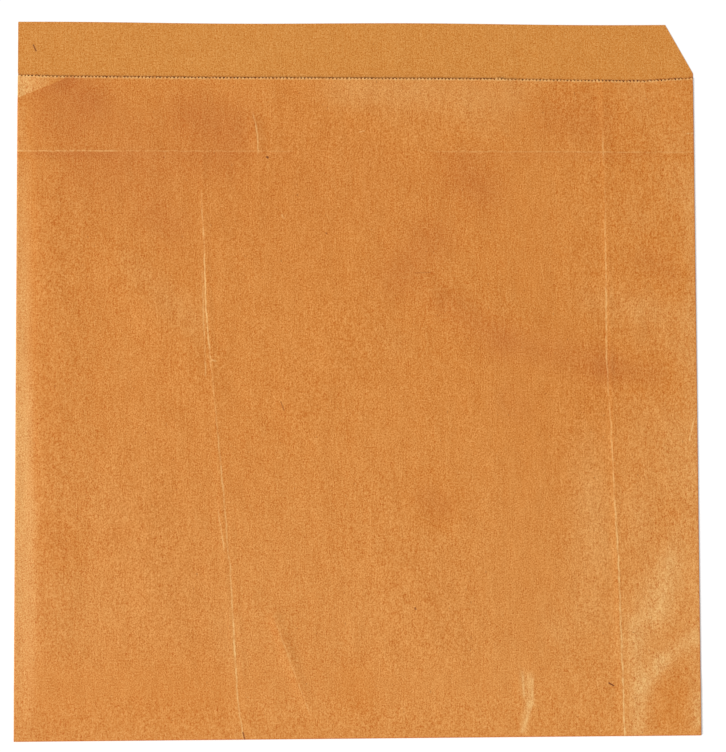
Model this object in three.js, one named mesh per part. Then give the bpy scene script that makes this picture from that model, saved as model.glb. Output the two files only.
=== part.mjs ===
// A flat paper bag lying on its back, in millimetres. +Z is up, +Y runs to the mouth, X across the bag.
// One sheet: front panel, soft left fold, back panel with its lip, crisp right fold, and a glue flap
// tucked in behind the front panel. The front panel also turns round the bottom edge onto the back.
// Glued faces are fused. The hollow between the panels is open at the mouth.
import * as THREE from 'three';

// Main sizes.
const WIDTH = 254;
const LENGTH = 266.8;
const LIP = 21.1;
const PAPER = 0.1;

// Corner cut off the lip on the seam side, and the saw cut along the front panel's mouth edge.
const CHAMFER_ACROSS = 10.4;
const CHAMFER_ALONG = 18.6;
const TOOTH_PITCH = 1.32;
const TOOTH_DEPTH = 0.5;

// Seam flap behind the front panel, and the turn-up under the back panel.
const FLAP_AT_MOUTH = 34.7;
const FLAP_AT_BOTTOM = 29.5;
const FLAP_SHORT = 2.4;
const TURN_UP = 18;
const TURN_UP_RAMP = 5;

// Air between the panels: at the pressed edges, in the left fold, over the middle and at the mouth.
const EDGE_GAP = 0.2;
const LEFT_FOLD_GAP = 0.7;
const MIDDLE_GAP = 1.1;
const LEFT_ROLL = 9;
const RIGHT_ROLL = 26;
const BOTTOM_ROLL = 30;
const FOLD_OPENS_OVER = 34;
const FOLD_SHUTS_OVER = 16;

// Handling creases in the front panel. Each point is a share of the width from the left, and a share of
// the front panel's length from the bottom.
const LEFT_CREASE = [[0.325, 0], [0.309, 0.21], [0.296, 0.39], [0.287, 0.56], [0.272, 0.83], [0.272, 1]];
const SLANT_CREASE = [[0.441, 0], [0.377, 0.18], [0.372, 0.5], [0.353, 0.89], [0.348, 1]];
const WEDGE_CREASE = [[0.733, 0], [0.734, 0.09], [0.72, 0.5], [0.715, 1]];
const CROSS_CREASE = 0.887;
const CREASE_FLANK = 1.3;
const LEFT_CREASE_RISE = 0.3;
const SEAM_RIDGE_RISE = 0.22;
const CROSS_CREASE_RISE = 0.3;

// Soft swells of the front panel: two ends as shares of width and length, then half width and rise.
const SWELLS = [
  [0.06, 0.15, 0.06, 0.8, 9, 0.45],
  [0.36, 1, 0.62, 1, 20, 0.75],
  [0.15, 0.72, 0.26, 0.56, 9, 0.3],
  [0.62, 0.66, 0.98, 0.57, 7, 0.32],
  [0.5, 0.62, 0.42, 0.5, 12, 0.28],
  [0.16, 0.36, 0.2, 0.2, 14, 0.25],
  [0.55, 0.3, 0.6, 0.16, 16, 0.3],
  [0.47, 0.2, 0.43, 0.04, 5, 0.22],
  [0.735, 0.09, 0.735, 0.02, 3, 0.25],
  [0.99, 0.31, 0.925, 0.16, 4.5, 0.5],
  [0.985, 0.13, 0.93, 0.08, 3.5, 0.42],
  [0.905, 0.14, 0.9, 0.01, 4, 0.4],
  [0.97, 0.86, 0.9, 0.72, 9, 0.3],
];

// How far the mouth edge strays from straight: share of the width, then mm towards the mouth.
const MOUTH_LINE = [[0, 0.9], [0.05, 0.4], [0.3, 0], [0.7, -0.2], [0.92, -0.7], [1, 0.6]];

// Mesh density.
const ARC_STEPS = 4;
const BOTTOM_STEPS = 4;
const BACK_STEPS = 6;
const ROW_SPACING = 11;
const COLUMN_SPACING = 9.5;

// Values that follow from those above.
const LEFT = -WIDTH / 2;
const RIGHT = WIDTH / 2;
const TOP = LENGTH / 2;
const PRESSED_RADIUS = PAPER + EDGE_GAP / 2;
const OPEN_RADIUS = PAPER + LEFT_FOLD_GAP / 2;
const BOTTOM_RADIUS = 1.5 * PAPER;
const FOOT = -LENGTH / 2 + BOTTOM_RADIUS;
const FRONT_LENGTH = TOP - LIP - FOOT;
const FLAP_STEP_SLOPE = PAPER / 2;

const lerp = (a, b, t) => a + (b - a) * t;
const clamp = (t) => Math.min(1, Math.max(0, t));
const ease = (t) => clamp(t) ** 2 * (3 - 2 * clamp(t));

// Value of a list of [at, value] points at a position, straight between points.
function along(points, at) {
  if (at <= points[0][0]) return points[0][1];
  for (let k = 1; k < points.length; k += 1) {
    const [a0, v0] = points[k - 1];
    const [a1, v1] = points[k];
    if (at <= a1) return lerp(v0, v1, (at - a0) / (a1 - a0));
  }
  return points[points.length - 1][1];
}

const mouthY = (x) => TOP - LIP + along(MOUTH_LINE, (x - LEFT) / WIDTH);
const rowY = (x, v) => FOOT + v * (mouthY(x) - FOOT);
const creaseX = (line, v) => LEFT + WIDTH * along(line.map(([u, w]) => [w, u]), v);
const flapEdgeX = (v) => RIGHT - lerp(FLAP_AT_BOTTOM, FLAP_AT_MOUTH, v);

// Radius of the left fold: pressed at both ends, open between them.
function leftRadius(v) {
  const up = v * FRONT_LENGTH;
  const open = ease(up / FOLD_OPENS_OVER) * ease((FRONT_LENGTH - up) / FOLD_SHUTS_OVER);
  return lerp(PRESSED_RADIUS, OPEN_RADIUS, open);
}

const leftX = (v) => LEFT + leftRadius(v);
const rightX = () => RIGHT - PRESSED_RADIUS;

// Height of the back panel's underside, which rides on the turn-up near the bottom.
const backZ = (v) => PAPER * (1 - clamp((v * FRONT_LENGTH - TURN_UP) / TURN_UP_RAMP));

function tent(distance, halfWidth) {
  return Math.max(0, 1 - Math.abs(distance) / halfWidth);
}

// Rise of the swells at a point.
function swell(x, y) {
  let rise = 0;
  for (const [u0, w0, u1, w1, halfWidth, height] of SWELLS) {
    const ax = LEFT + u0 * WIDTH;
    const ay = FOOT + w0 * FRONT_LENGTH;
    const dx = (u1 - u0) * WIDTH;
    const dy = (w1 - w0) * FRONT_LENGTH;
    const t = clamp(((x - ax) * dx + (y - ay) * dy) / (dx * dx + dy * dy));
    const far = Math.hypot(x - ax - t * dx, y - ay - t * dy);
    rise += height * Math.exp(-((far / halfWidth) ** 2));
  }
  return rise;
}

// Height of the front panel's outer face.
function frontZ(x, v) {
  const y = rowY(x, v);
  const fromLeft = ease((x - leftX(v)) / LEFT_ROLL);
  const fromRight = ease((rightX() - x) / RIGHT_ROLL);
  const fromBottom = ease((v * FRONT_LENGTH) / BOTTOM_ROLL);
  const edgeGap = x < 0 ? 2 * (leftRadius(v) - PAPER) : EDGE_GAP;
  const open = lerp(EDGE_GAP, MIDDLE_GAP + swell(x, y), fromBottom);
  const gap = lerp(edgeGap, open, fromLeft * fromRight);
  const flap = PAPER * clamp(1 - (flapEdgeX(v) - x) / (2 * CREASE_FLANK));
  const inside = Math.min(1, fromLeft * 4) * clamp((rightX() - x) / 12) * fromBottom;
  const leftFade = ease((1 - v) * 6);
  const leftRidge = LEFT_CREASE_RISE * tent(x - creaseX(LEFT_CREASE, v), CREASE_FLANK) * leftFade;
  const seamRidge = SEAM_RIDGE_RISE * tent(x - flapEdgeX(v), CREASE_FLANK) * (1 - 0.6 * v);
  const cross = CROSS_CREASE_RISE * tent((v - CROSS_CREASE) * FRONT_LENGTH, CREASE_FLANK);
  return backZ(v) + 2 * PAPER + gap + flap + inside * (leftRidge + seamRidge + cross);
}

// Rows from the bottom fold (0) to the mouth edge (1), and columns from the left fold to the right edge.
function spread(from, to, spacing) {
  const count = Math.max(1, Math.round(Math.abs(to - from) / spacing));
  return Array.from({ length: count }, (_, k) => lerp(from, to, k / count));
}

function makeRows() {
  const flank = CREASE_FLANK;
  const crossAt = CROSS_CREASE * FRONT_LENGTH;
  const short = FRONT_LENGTH - FLAP_SHORT;
  const turned = spread(0, TURN_UP, 4.5);
  const mm = [
    ...turned,
    ...spread(TURN_UP, TURN_UP + TURN_UP_RAMP, TURN_UP_RAMP),
    ...spread(TURN_UP + TURN_UP_RAMP, crossAt - flank, ROW_SPACING),
    crossAt - flank,
    crossAt,
    ...spread(crossAt + flank, short, ROW_SPACING * 0.6),
    short,
    FRONT_LENGTH,
  ];
  return { rows: mm.map((d) => d / FRONT_LENGTH), turnRow: turned.length };
}

function makeColumns(v) {
  const flank = CREASE_FLANK;
  const left = creaseX(LEFT_CREASE, v);
  const slant = creaseX(SLANT_CREASE, v);
  const wedge = creaseX(WEDGE_CREASE, v);
  const seam = flapEdgeX(v);
  const stops = [
    [leftX(v), 3],
    [LEFT + LEFT_ROLL, Math.round((0.27 * WIDTH - LEFT_ROLL) / COLUMN_SPACING)],
    [left - flank, 1],
    [left, 1],
    [left + flank, Math.round((0.08 * WIDTH) / COLUMN_SPACING)],
    [slant, Math.round((0.34 * WIDTH) / COLUMN_SPACING)],
    [wedge, Math.round((0.14 * WIDTH) / COLUMN_SPACING)],
    [seam - flank, 1],
    [seam, 1],
    [seam + flank, Math.round(FLAP_AT_MOUTH / COLUMN_SPACING) + 1],
    [rightX(), 0],
  ];
  const xs = [];
  stops.forEach(([x, cells], k) => {
    const next = k + 1 < stops.length ? stops[k + 1][0] : x;
    const count = Math.max(1, cells);
    if (k + 1 === stops.length) xs.push(x);
    else for (let c = 0; c < count; c += 1) xs.push(lerp(x, next, c / count));
  });
  return { xs, seamColumn: xs.findIndex((x) => Math.abs(x - seam) < 1e-9) };
}

// A closed mesh gathered from strips. Points that fall together are shared.
class Skin {
  constructor() {
    this.points = [];
    this.faces = [];
    this.known = new Map();
  }

  add([x, y, z]) {
    const key = [x, y, z].map((c) => Math.round(c * 1e5)).join(' ');
    if (!this.known.has(key)) {
      this.known.set(key, this.points.length);
      this.points.push([x, y, z]);
    }
    return this.known.get(key);
  }

  triangle(a, b, c) {
    const [i, j, k] = [this.add(a), this.add(b), this.add(c)];
    if (i !== j && j !== k && k !== i) this.faces.push([i, j, k]);
  }

  // Two lines of equal length. Seen from outside, b is to the left of a.
  strip(a, b) {
    for (let k = 0; k + 1 < a.length; k += 1) {
      this.triangle(a[k], a[k + 1], b[k + 1]);
      this.triangle(a[k], b[k + 1], b[k]);
    }
  }

  // The same for lines of unequal length that run the same way along X.
  zip(a, b) {
    let i = 0;
    let j = 0;
    const shareOf = (line, k) => (line[k][0] - line[0][0]) / (line[line.length - 1][0] - line[0][0]);
    while (i + 1 < a.length || j + 1 < b.length) {
      const nextA = i + 1 < a.length ? shareOf(a, i + 1) : Infinity;
      const nextB = j + 1 < b.length ? shareOf(b, j + 1) : Infinity;
      if (nextA <= nextB) {
        this.triangle(a[i], a[i + 1], b[j]);
        i += 1;
      } else {
        this.triangle(a[i], b[j + 1], b[j]);
        j += 1;
      }
    }
  }

  // Lines listed from the bottom of the bag to the mouth, each anticlockwise seen from the bottom.
  outer(lines) {
    for (let k = 0; k + 1 < lines.length; k += 1) this.strip(lines[k + 1], lines[k]);
  }

  inner(lines) {
    for (let k = 0; k + 1 < lines.length; k += 1) this.strip(lines[k], lines[k + 1]);
  }

  // A flat patch with its corners in order.
  fan(line) {
    for (let k = 1; k + 1 < line.length; k += 1) this.triangle(line[0], line[k], line[k + 1]);
  }

  geometry() {
    const shape = new THREE.BufferGeometry();
    shape.setAttribute('position', new THREE.Float32BufferAttribute(this.points.flat(), 3));
    shape.setIndex(this.faces.flat());
    shape.computeVertexNormals();
    return shape;
  }
}

// Half circle in the XZ plane at one row, from angle to angle.
function arc(x, y, z, radius, from, to) {
  return Array.from({ length: ARC_STEPS + 1 }, (_, k) => {
    const angle = lerp(from, to, k / ARC_STEPS);
    const edge = k === 0 || k === ARC_STEPS;
    return [edge ? x : x + radius * Math.cos(angle), y, z + radius * Math.sin(angle)];
  });
}

const lift = (line, dz) => line.map(([x, y, z]) => [x, y, z + dz]);
const backwards = (line) => [...line].reverse();

// Points of a back panel line, evenly spaced from x0 to x1.
function across(x0, x1, place) {
  return Array.from({ length: BACK_STEPS + 1 }, (_, k) => place(lerp(x0, x1, k / BACK_STEPS)));
}

function makeBag() {
  const skin = new Skin();
  const { rows, turnRow } = makeRows();
  const last = rows.length - 1;
  const flapRow = last - 1;

  // Front panel lines, left to right, as their outer face.
  const grid = rows.map((v) => makeColumns(v));
  const front = grid.map(({ xs }, j) => xs.map((x) => [x, rowY(x, rows[j]), frontZ(x, rows[j])]));
  const seamColumn = grid[0].seamColumn;
  const under = front.map((line) => lift(line, -PAPER));
  const flapUnder = (j) => {
    const [x, y, z] = lift(front[j], -2 * PAPER)[seamColumn];
    return [[x + FLAP_STEP_SLOPE, y, z], ...lift(front[j], -2 * PAPER).slice(seamColumn + 1)];
  };

  // The two side folds and the back panel, row by row.
  const outerLeft = [];
  const innerLeft = [];
  const outerRight = [];
  const innerRight = [];
  const backUnder = [];
  const backFace = [];
  rows.forEach((v, j) => {
    const r = leftRadius(v);
    const xl = leftX(v);
    const yl = rowY(xl, v);
    const xr = j === last ? RIGHT : rightX();
    const yr = rowY(rightX(), v);
    const z = backZ(v);
    const zr = z + PRESSED_RADIUS;
    outerLeft.push(arc(xl, yl, z + r, r, Math.PI / 2, Math.PI * 1.5));
    innerLeft.push(arc(xl, yl, z + r, r - PAPER, Math.PI / 2, Math.PI * 1.5));
    if (j < last) {
      outerRight.push(arc(rightX(), yr, zr, PRESSED_RADIUS, -Math.PI / 2, Math.PI / 2));
      innerRight.push(arc(rightX(), yr, zr, PRESSED_RADIUS - PAPER, -Math.PI / 2, Math.PI / 2));
    }
    backUnder.push(across(xl, xr, (x) => [x, rowY(x, v), z]));
    backFace.push(lift(backUnder[j], PAPER));
  });

  // Front panel outside, with the saw-cut mouth edge.
  const coarse = front.slice(0, last);
  skin.outer(coarse.map(backwards));
  const mouth = front[last];
  const teeth = Math.max(8, Math.round((mouth[mouth.length - 1][0] - mouth[0][0]) / TOOTH_PITCH));
  const mouthZ = mouth.map(([x, , z]) => [x, z]);
  const saw = Array.from({ length: 2 * teeth + 1 }, (_, k) => {
    const x = lerp(mouth[0][0], mouth[mouth.length - 1][0], k / (2 * teeth));
    return [x, mouthY(x) + (k % 2 ? TOOTH_DEPTH / 2 : -TOOTH_DEPTH / 2), along(mouthZ, x)];
  });
  saw[0] = mouth[0];
  saw[2 * teeth] = mouth[mouth.length - 1];
  skin.zip(front[flapRow], saw);
  skin.zip(lift(saw, -PAPER), under[flapRow]);
  skin.strip(backwards(lift(saw, -PAPER)), backwards(saw));

  // Front panel inside, one sheet thick on the left and two where the flap lies on it.
  const innerTop = under.slice(0, last).map((line, j) => [
    ...backwards(flapUnder(j)),
    ...backwards(line.slice(0, seamColumn + 1)),
  ]);
  skin.inner(innerTop);
  const flapEnd = backwards(flapUnder(flapRow));
  skin.strip(flapEnd, backwards(under[flapRow].slice(seamColumn)));

  // Cut edge of the front panel on the right fold.
  skin.outer(front.map((line, j) => [under[j][line.length - 1], line[line.length - 1]]));

  // Side folds with their ends.
  skin.outer(outerLeft);
  skin.inner(innerLeft);
  skin.strip(innerLeft[last], outerLeft[last]);
  skin.outer(outerRight);
  skin.inner(innerRight);
  skin.strip(innerRight[flapRow], outerRight[flapRow]);
  skin.fan(outerLeft[0]);
  skin.fan(outerRight[0]);

  // Bottom fold, from the front panel round to the turn-up.
  const foldRows = Array.from({ length: BOTTOM_STEPS + 1 }, (_, m) => {
    const angle = (Math.PI * m) / BOTTOM_STEPS;
    return front[0].map(([x, , z]) => {
      const inset = m === 0 || m === BOTTOM_STEPS ? 0 : BOTTOM_RADIUS * Math.sin(angle);
      return [x, FOOT - inset, (z / 2) * (1 + Math.cos(angle))];
    });
  });
  for (let m = 0; m < BOTTOM_STEPS; m += 1) {
    skin.strip(backwards(foldRows[m]), backwards(foldRows[m + 1]));
  }
  const leftCap = foldRows.map((line) => line[0]);
  const rightCap = foldRows.map((line) => line[line.length - 1]);
  const mid = BOTTOM_STEPS / 2;
  const leftUpper = backwards(leftCap.slice(0, mid + 1));
  const leftLower = backwards(leftCap.slice(mid + 1));
  skin.fan([...leftUpper, outerLeft[0][ARC_STEPS], ...leftLower]);
  const rightEnds = [outerRight[0][0], outerRight[0][ARC_STEPS]];
  skin.fan([...rightCap.slice(mid), ...rightEnds, ...rightCap.slice(0, mid)]);

  // Turn-up: its face, side edges and free edge.
  const turned = backUnder.slice(0, turnRow + 1).map((line) => line.map(([x, y]) => [x, y, 0]));
  skin.zip(backwards(foldRows[BOTTOM_STEPS]), backwards(turned[1]));
  skin.outer(turned.slice(1));
  const high = backUnder.slice(0, turnRow + 1);
  skin.outer(high.map((line, j) => [line[0], turned[j][0]]));
  skin.outer(high.map((line, j) => [turned[j][BACK_STEPS], line[BACK_STEPS]]));
  skin.strip(backwards(turned[turnRow]), backwards(high[turnRow]));

  // Back panel.
  skin.outer(backUnder.slice(turnRow));
  const floorLine = innerTop[0].map(([x, y]) => [x, y, backZ(0) + PAPER]);
  skin.zip(backwards(floorLine), backFace[1]);
  skin.inner(backFace.slice(1));

  // End of the hollow at the bottom fold.
  skin.strip(floorLine, innerTop[0]);
  skin.fan(backwards(innerLeft[0]));
  skin.fan(backwards(innerRight[0]));

  // Lip, with its cut corner.
  const lipStart = backUnder[last];
  const chamferY = TOP - CHAMFER_ALONG;
  const lipRows = [
    mouthY(LEFT) + 1.5,
    chamferY,
    TOP - CHAMFER_ALONG / 2,
    TOP,
  ];
  const lip = lipRows.map((y) => {
    const cut = CHAMFER_ACROSS * clamp((y - chamferY) / CHAMFER_ALONG);
    return across(LEFT, RIGHT - cut, (x) => [x, y, 0]);
  });
  const lipUnder = [lipStart, ...lip];
  const lipFace = lipUnder.map((line) => lift(line, PAPER));
  skin.outer(lipUnder);
  skin.inner(lipFace);
  skin.outer(lipUnder.map((line, j) => [lipFace[j][0], line[0]]));
  const rightRows = [backUnder[flapRow], ...lipUnder];
  skin.outer(rightRows.map((line) => [line[BACK_STEPS], lift(line, PAPER)[BACK_STEPS]]));
  skin.strip(backwards(lipUnder[lipUnder.length - 1]), backwards(lipFace[lipFace.length - 1]));
  return skin.geometry();
}

const kraft = new THREE.MeshStandardMaterial({ color: '#d58b48', roughness: 0.72, metalness: 0 });
kraft.name = 'kraft_paper';

const bag = new THREE.Mesh(makeBag(), kraft);
bag.name = 'paper_bag';

const part = new THREE.Group();
part.name = 'flat_paper_bag';
part.add(bag);

export default part;
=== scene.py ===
"""A flat paper bag lying on its back on a white floor, seen from above. Lengths in the bag are in mm."""
import math
import bpy
import numpy as np
from mathutils import Euler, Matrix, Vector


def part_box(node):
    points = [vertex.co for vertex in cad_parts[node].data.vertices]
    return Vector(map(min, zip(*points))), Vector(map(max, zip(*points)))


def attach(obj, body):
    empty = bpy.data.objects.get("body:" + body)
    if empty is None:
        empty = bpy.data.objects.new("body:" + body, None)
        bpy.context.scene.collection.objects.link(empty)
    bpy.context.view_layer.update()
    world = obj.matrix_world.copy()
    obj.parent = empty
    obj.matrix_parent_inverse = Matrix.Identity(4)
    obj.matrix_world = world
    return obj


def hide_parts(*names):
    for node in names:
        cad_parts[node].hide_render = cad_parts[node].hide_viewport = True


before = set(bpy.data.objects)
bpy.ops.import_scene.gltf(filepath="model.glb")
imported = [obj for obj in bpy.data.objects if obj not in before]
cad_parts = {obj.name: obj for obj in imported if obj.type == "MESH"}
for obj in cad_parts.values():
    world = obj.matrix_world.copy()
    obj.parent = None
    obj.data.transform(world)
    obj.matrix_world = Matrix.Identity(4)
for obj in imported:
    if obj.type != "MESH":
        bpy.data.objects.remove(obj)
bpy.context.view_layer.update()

# Sizes in mm. The width and the length come from the CAD model, and the others follow part.mjs.
MM = 0.001
low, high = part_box("paper_bag")
WIDTH = (high[0] - low[0]) / MM
LENGTH = (high[1] - low[1]) / MM
LIP = 21.1
PAPER = 0.1
CHAMFER_ACROSS = 10.4
CHAMFER_ALONG = 18.6
TOOTH_PITCH = 1.32
FLAP_AT_MOUTH = 34.7
FLAP_AT_BOTTOM = 29.5
FLAP_SHORT = 2.4
TURN_UP = 18.0
TURN_UP_RAMP = 5.0
MIDDLE_GAP = 1.1
LEFT_ROLL = 9.0
BOTTOM_ROLL = 30.0
# The left crease by shares of the length and the width, the height of the cross crease as a share, and
# how far the mouth edge is off a straight line, in mm, by shares of the width.
LEFT_CREASE = [(0, 0.325), (0.21, 0.309), (0.39, 0.296), (0.56, 0.287), (0.83, 0.272), (1, 0.272)]
CROSS_CREASE = 0.887
MOUTH_LINE = [(0, 0.9), (0.05, 0.4), (0.3, 0), (0.7, -0.2), (0.92, -0.7), (1, 0.6)]

# Sizes in mm that differ a little from part.mjs, as the mesh is finer here.
TOOTH_DEPTH = 0.6
EDGE_GAP = 0.12
LEFT_FOLD_GAP = 0.75
RIGHT_ROLL = 90.0

# Ridges and swells of the front panel in mm: both ends, half width, rise.
RELIEF = [
    # Bulge along the left fold and the lifted mouth.
    (-112, -96, -112, 63, 9, 0.28),
    (-30, 112, 44, 112, 18, 0.5),
    # Soft swells over the middle.
    (-89, 44, -61, 4, 9, 0.3),
    (30, 29, 122, 7, 7, 0.32),
    (0, 19, -20, -10, 12, 0.28),
    (-86, -45, -76, -84, 14, 0.25),
    (13, -60, 25, -94, 16, 0.3),
    (119, 78, 102, 44, 9, 0.3),
    # Slanting crease, wedge and the cockles beside the seam.
    (-31.2, -89.5, -18.3, -124.3, 2.2, 0.3),
    (59.4, -110.4, 59.2, -131, 1.6, 0.22),
    (125.3, -57.3, 108, -90.5, 3.2, 0.42),
    (122.8, -101.7, 109.6, -112.6, 2.6, 0.34),
    (102.6, -96, 101.9, -130, 2.6, 0.32),
    # Short crease under the mouth.
    (-38.5, 96.5, -37.4, 85.2, 1.6, 0.16),
]

# The left fold opens above the bottom and shuts again under the mouth, over these lengths in mm.
FOLD_OPENS_OVER = 34
FOLD_SHUTS_OVER = 16
# Towards the mouth the front panel sinks by this share, over this length.
MOUTH_SETTLES_BY = 0.35
MOUTH_SETTLES_OVER = 24
# The wavy top edge of the lip: height, and length of one radian. Its first row above the mouth.
LIP_WAVE = 0.22
LIP_WAVE_RADIAN = 21
LIP_START = 1.5
# The front panel comes down beside the glue flap over this width.
FLAP_RAMP = 2.4

# Creases that stand up, in mm. FLANK is half the width of the left one and the seam, and CROSS_FLANK of
# the cross one and of the parallel one, which lies PARALLEL_AT to the right of the left one.
FLANK = 1.3
CROSS_FLANK = 1.2
PARALLEL_AT = 3.4
LEFT_RISE = 0.07
PARALLEL_RISE = 0.04
SEAM_RISE = 0.1
CROSS_RISE = 0.04
# The cross crease is lower by this share between these, and it changes over FAINT_OVER.
FAINT_BY = 0.8
FAINT_FROM = -30
FAINT_TO = 24
FAINT_OVER = 10
# The seam stands this share lower at the mouth than at the bottom.
SEAM_FADE = 0.6
# All creases fade out over this width at the right edge.
RIGHT_FLAT = 12
# Crumples of the front panel: size and height in mm.
CRUMPLES = [(14, 0.035), (5.5, 0.014)]

# Mesh steps in mm: the outer faces, the inner ones, and the largest one in the turn-up.
FINE = 1.05
COARSE = 6.0
TURN_STEP = 4.5
# Cells across the back panel, around each side fold, around the bottom fold and up the lip.
BACK_CELLS = 40
FOLD_CELLS = 8
BOTTOM_CELLS = 6
LIP_CELLS = 19
# Shares of the width that set the number of cells left of the left crease, and from there to the seam.
LEFT_SHARE = 0.27
MIDDLE_SHARE = 0.58

# The saw cut. Depth is a share of TOOTH_DEPTH, the tip's place and half width are shares of a pitch.
DEPTH_RANGE = (0.75, 1.25)
TIP_RANGE = (0.38, 0.62)
TIP_HALF = 0.13
# How far roots and tips move up or down, in mm.
ROOT_SHIFT = 0.05
TIP_SHIFT = 0.08
# Taller teeth: their X and how much taller. Those within TALL_OVER are taller too. In mm.
TALL_TEETH = [(52.0, 0.55), (90.3, 0.5), (104.0, 0.25)]
TALL_OVER = 1.6

SEED = 7

# Values that follow from those above.
LEFT = -WIDTH / 2
RIGHT = WIDTH / 2
TOP = LENGTH / 2
PRESSED = PAPER + EDGE_GAP / 2
OPEN = PAPER + LEFT_FOLD_GAP / 2
BOTTOM_RADIUS = 1.5 * PAPER
FOOT = -LENGTH / 2 + BOTTOM_RADIUS
FRONT = TOP - LIP - FOOT
RIGHT_TOP = RIGHT - PRESSED


def ease(t):
    t = np.clip(t, 0, 1)
    return t * t * (3 - 2 * t)


def along(points, at):
    return np.interp(at, [p[0] for p in points], [p[1] for p in points])


def mouth_y(x):
    return TOP - LIP + along(MOUTH_LINE, (x - LEFT) / WIDTH)


def row_y(x, v):
    return FOOT + v * (mouth_y(x) - FOOT)


def left_radius(v):
    up = v * FRONT
    return PRESSED + (OPEN - PRESSED) * ease(up / FOLD_OPENS_OVER) * ease((FRONT - up) / FOLD_SHUTS_OVER)


def back_z(v):
    return PAPER * (1 - np.clip((v * FRONT - TURN_UP) / TURN_UP_RAMP, 0, 1))


def flap_x(v):
    return RIGHT - (FLAP_AT_BOTTOM + (FLAP_AT_MOUTH - FLAP_AT_BOTTOM) * v)


def crease_x(v):
    return LEFT + WIDTH * along(LEFT_CREASE, v)


def tent(d, half):
    return np.clip(1 - np.abs(d) / half, 0, 1)


def segment(x, y, x0, y0, x1, y1):
    """Distance to a line between two points, and the share of the way along it."""
    dx, dy = x1 - x0, y1 - y0
    t = np.clip(((x - x0) * dx + (y - y0) * dy) / (dx * dx + dy * dy + 1e-9), 0, 1)
    return np.hypot(x - x0 - t * dx, y - y0 - t * dy), t


def soft_noise(x, y, scale, seed):
    """Smooth noise from -1 to 1 with features of about scale mm."""
    rng = np.random.default_rng(seed)
    out = np.zeros(np.broadcast(x, y).shape)
    waves = 14
    for _ in range(waves):
        a = rng.uniform(0, 2 * math.pi)
        k = 2 * math.pi / (scale * rng.uniform(0.7, 1.6))
        out += np.cos(k * (x * math.cos(a) + y * math.sin(a)) + rng.uniform(0, 2 * math.pi))
    return out / math.sqrt(waves)


def front_z(x, v):
    """Height of the front panel's outer face."""
    y = row_y(x, v)
    up = v * FRONT
    from_left = ease((x - (LEFT + left_radius(v))) / LEFT_ROLL)
    from_right = ease((RIGHT_TOP - x) / RIGHT_ROLL)
    from_bottom = ease(up / BOTTOM_ROLL)
    edge_gap = np.where(x < 0, 2 * (left_radius(v) - PAPER), EDGE_GAP)
    rise = np.zeros_like(y)
    for x0, y0, x1, y1, half, height in RELIEF:
        far, _ = segment(x, y, x0, y0, x1, y1)
        rise += height * np.exp(-((far / half) ** 2))
    settle = 1 - MOUTH_SETTLES_BY * ease((up - FRONT + MOUTH_SETTLES_OVER) / MOUTH_SETTLES_OVER)
    gap = EDGE_GAP + ((MIDDLE_GAP + rise) * settle - EDGE_GAP) * from_bottom
    gap = edge_gap + (gap - edge_gap) * from_left * from_right
    seam = flap_x(v)
    flap = PAPER * np.clip(1 - (seam - x) / FLAP_RAMP, 0, 1)
    inside = np.minimum(1, from_left * 4) * np.clip((RIGHT_TOP - x) / RIGHT_FLAT, 0, 1) * from_bottom
    left = crease_x(v)
    # The left crease fades over the last sixth of the bag, and the parallel one over the second quarter.
    ridge = LEFT_RISE * tent(x - left, FLANK) * ease((1 - v) * 6)
    ridge += PARALLEL_RISE * tent(x - left - PARALLEL_AT, CROSS_FLANK) * ease((0.5 - v) * 4)
    ridge += SEAM_RISE * tent(x - seam, FLANK) * (1 - SEAM_FADE * v)
    middle = ease((x - FAINT_FROM) / FAINT_OVER) * ease((FAINT_TO - x) / FAINT_OVER)
    ridge += CROSS_RISE * tent(up - CROSS_CREASE * FRONT, CROSS_FLANK) * (1 - FAINT_BY * middle)
    for k, (size, height) in enumerate(CRUMPLES):
        ridge = ridge + height * soft_noise(x, y, size, SEED + k)
    return back_z(v) + 2 * PAPER + gap + flap + inside * ridge


def spread(start, stop, step):
    count = max(1, round(abs(stop - start) / step))
    return [start + (stop - start) * k / count for k in range(count)]


def make_rows(step):
    """Rows from the bottom fold (0) to the mouth (1), and the row where the turn-up ends."""
    cross = CROSS_CREASE * FRONT
    short = FRONT - FLAP_SHORT
    ramp_end = TURN_UP + TURN_UP_RAMP
    mm = spread(0, TURN_UP, min(step, TURN_STEP))
    turn = len(mm)
    mm += spread(TURN_UP, ramp_end, step)
    mm += spread(ramp_end, cross - CROSS_FLANK, step)
    mm += spread(cross - CROSS_FLANK, cross + CROSS_FLANK, CROSS_FLANK / 2 if step == FINE else CROSS_FLANK)
    mm += spread(cross + CROSS_FLANK, short, step) + [short, FRONT]
    return np.array(mm) / FRONT, turn


def make_columns(v, step):
    """Columns across the front panel at row v. Every row has the same number."""
    left = float(crease_x(v))
    seam = float(flap_x(v))
    start = LEFT + float(left_radius(v))
    beside = [-FLANK, 0, FLANK]
    near = beside
    if step == FINE:
        beside = [-FLANK, -FLANK / 2, 0, FLANK / 2, FLANK]
        near = beside + [PARALLEL_AT + CROSS_FLANK * d for d in (-1, -0.5, 0, 0.5, 1)]
    rolled = max(3, round(LEFT_ROLL / step) * 2)
    xs = list(np.linspace(start, LEFT + LEFT_ROLL, rolled, endpoint=False))
    first = round((LEFT_SHARE * WIDTH - LEFT_ROLL) / step)
    xs += list(np.linspace(LEFT + LEFT_ROLL, left + near[0], first, endpoint=False))
    xs += [left + d for d in near[:-1]]
    middle = round(MIDDLE_SHARE * WIDTH / step)
    xs += list(np.linspace(left + near[-1], seam + beside[0], middle, endpoint=False))
    xs += [seam + d for d in beside[:-1]]
    xs += list(np.linspace(seam + beside[-1], RIGHT_TOP, max(3, round(FLAP_AT_MOUTH / step))))
    return np.array(xs)


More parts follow.
